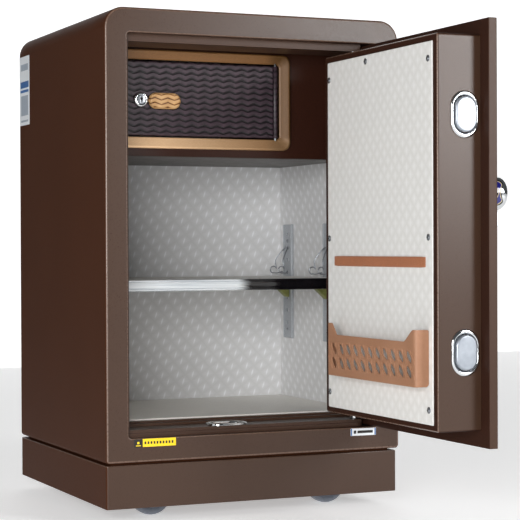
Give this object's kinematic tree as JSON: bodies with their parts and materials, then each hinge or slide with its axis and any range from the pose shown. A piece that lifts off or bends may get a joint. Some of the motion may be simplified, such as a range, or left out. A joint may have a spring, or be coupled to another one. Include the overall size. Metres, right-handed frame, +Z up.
{
  "type": "document safe",
  "caption": "Upright fire-resistant document safe on a wheeled plinth, with a hinged bolted door, lined interior, inner key locker and adjustable shelf.",
  "frame": {"origin": "on the floor, under the middle of the bounding box with the main door standing open at 90 degrees", "axes": "+Z up, +Y from the door opening towards the back of the cabinet, +X to the right seen from the front"},
  "size_m": [0.459, 0.743, 0.7045],
  "materials": {
    "brown_powder_coat": "fine textured brown powder coat",
    "lining_leatherette": "embossed light grey leatherette",
    "cover_leatherette": "embossed off-white leatherette",
    "fire_insulation": "rough cast mineral insulation",
    "chrome": "polished chrome",
    "bright_steel": "bright zinc-plated steel",
    "yellow_zinc": "yellow passivated zinc",
    "gold_moulding": "satin copper-gold moulding",
    "dark_leatherette": "dark plum woven-pattern leatherette",
    "tan_leatherette": "tan embossed leatherette",
    "strap_leather": "smooth red-brown leather",
    "tan_plastic": "satin tan moulded plastic",
    "dark_gloss": "gloss black lacquer",
    "black_gloss": "black gloss touch panel",
    "grey_nylon": "smoky grey nylon"
  },
  "bodies": {
    "cabinet": {"outer_shell": "brown_powder_coat", "back_panel": "brown_powder_coat", "front_frame": "brown_powder_coat", "fire_fill": "fire_insulation", "liner_left": "lining_leatherette", "liner_right": "lining_leatherette", "liner_back": "lining_leatherette", "floor_panel": "lining_leatherette", "sill_receiver": "chrome", "locker_housing": "brown_powder_coat", "locker_frame": "gold_moulding", "locker_hinge_rod": "bright_steel", "shelf_board": "lining_leatherette", "shelf_trim": "chrome", "rail_left_front": "bright_steel", "rail_left_rear": "bright_steel", "rail_right_front": "bright_steel", "rail_right_rear": "bright_steel", "shelf_bracket_left_front": "yellow_zinc", "shelf_bracket_left_rear": "yellow_zinc", "shelf_bracket_right_front": "yellow_zinc", "shelf_bracket_right_rear": "yellow_zinc", "shelf_clip_left_front": "bright_steel", "shelf_clip_left_rear": "bright_steel", "shelf_clip_right_front": "bright_steel", "shelf_clip_right_rear": "bright_steel", "plinth": "brown_powder_coat"},
    "locker_door": {"locker_door": "dark_leatherette", "locker_pull": "tan_leatherette", "locker_lock_ring": "chrome"},
    "locker_plug": {"locker_lock_plug": "bright_steel"},
    "main_door": {"door_plate": "brown_powder_coat", "door_pan": "brown_powder_coat", "inner_cover": "cover_leatherette", "cover_strap": "strap_leather", "document_basket": "tan_plastic", "hinge_bar": "brown_powder_coat", "hinge_pin_top": "bright_steel", "hinge_pin_bottom": "bright_steel", "escutcheon_upper": "chrome", "escutcheon_lower": "chrome", "escutcheon_bottom": "chrome", "lock_case": "bright_steel", "lock_plate": "dark_gloss", "keypad": "black_gloss"},
    "bolt_carriage": {"bolt_carriage": "bright_steel", "bolt_upper": "chrome", "bolt_lower": "chrome"},
    "floor_bolt": {"bolt_floor": "chrome"},
    "knob": {"knob": "chrome", "drive_crank": "bright_steel"},
    "key": {"key": "bright_steel"},
    "caster_front_left": {"caster_fork_front_left": "bright_steel"},
    "wheel_front_left": {"caster_wheel_front_left": "grey_nylon"},
    "caster_rear_left": {"caster_fork_rear_left": "bright_steel"},
    "wheel_rear_left": {"caster_wheel_rear_left": "grey_nylon"},
    "caster_front_right": {"caster_fork_front_right": "bright_steel"},
    "wheel_front_right": {"caster_wheel_front_right": "grey_nylon"},
    "caster_rear_right": {"caster_fork_rear_right": "bright_steel"},
    "wheel_rear_right": {"caster_wheel_rear_right": "grey_nylon"}
  },
  "joints": [
    {"name": "main_door_hinge", "type": "hinge", "parent": "cabinet", "child": "main_door", "pos_m": [0.156, -0.016, 0.3825], "axis": [0, 0, 1], "range_deg": [-90, 0]},
    {"name": "bolt_throw", "type": "slide", "parent": "main_door", "child": "bolt_carriage", "axis": [0, -1, 0], "range_m": [0, 0.02]},
    {"name": "floor_bolt_throw", "type": "slide", "parent": "main_door", "child": "floor_bolt", "axis": [0, 0, -1], "range_m": [0, 0.02]},
    {"name": "knob_turn", "type": "hinge", "parent": "main_door", "child": "knob", "pos_m": [0.2015, -0.3115, 0.4465], "axis": [1, 0, 0], "range_deg": [0, 90]},
    {"name": "key_turn", "type": "hinge", "parent": "main_door", "child": "key", "pos_m": [0.2015, -0.3115, 0.4125], "axis": [1, 0, 0], "range_deg": [0, 90]},
    {"name": "locker_door_hinge", "type": "hinge", "parent": "cabinet", "child": "locker_door", "pos_m": [0.066, 0.0605, 0.5875], "axis": [0, 0, 1], "range_deg": [0, 90]},
    {"name": "locker_key_turn", "type": "hinge", "parent": "locker_door", "child": "locker_plug", "pos_m": [-0.1465, 0.0585, 0.5875], "axis": [0, -1, 0], "range_deg": [0, 90]},
    {"name": "caster_swivel_front_left", "type": "hinge", "parent": "cabinet", "child": "caster_front_left", "pos_m": [-0.1575, 0.0265, 0.0525], "axis": [0, 0, 1], "continuous": true},
    {"name": "wheel_spin_front_left", "type": "hinge", "parent": "caster_front_left", "child": "wheel_front_left", "pos_m": [-0.1455, 0.0265, 0.03], "axis": [0, 1, 0], "continuous": true},
    {"name": "caster_swivel_rear_left", "type": "hinge", "parent": "cabinet", "child": "caster_rear_left", "pos_m": [-0.1575, 0.3035, 0.0525], "axis": [0, 0, 1], "continuous": true},
    {"name": "wheel_spin_rear_left", "type": "hinge", "parent": "caster_rear_left", "child": "wheel_rear_left", "pos_m": [-0.1455, 0.3035, 0.03], "axis": [0, 1, 0], "continuous": true},
    {"name": "caster_swivel_front_right", "type": "hinge", "parent": "cabinet", "child": "caster_front_right", "pos_m": [0.1405, 0.0265, 0.0525], "axis": [0, 0, 1], "continuous": true},
    {"name": "wheel_spin_front_right", "type": "hinge", "parent": "caster_front_right", "child": "wheel_front_right", "pos_m": [0.1285, 0.0265, 0.03], "axis": [0, 1, 0], "continuous": true},
    {"name": "caster_swivel_rear_right", "type": "hinge", "parent": "cabinet", "child": "caster_rear_right", "pos_m": [0.1405, 0.3035, 0.0525], "axis": [0, 0, 1], "continuous": true},
    {"name": "wheel_spin_rear_right", "type": "hinge", "parent": "caster_rear_right", "child": "wheel_rear_right", "pos_m": [0.1285, 0.3035, 0.03], "axis": [0, 1, 0], "continuous": true}
  ],
  "couplings": [
    {"joint": "knob_turn", "follows": "bolt_throw", "rad_per_m": 78.53},
    {"joint": "floor_bolt_throw", "follows": "bolt_throw", "ratio": 1}
  ]
}
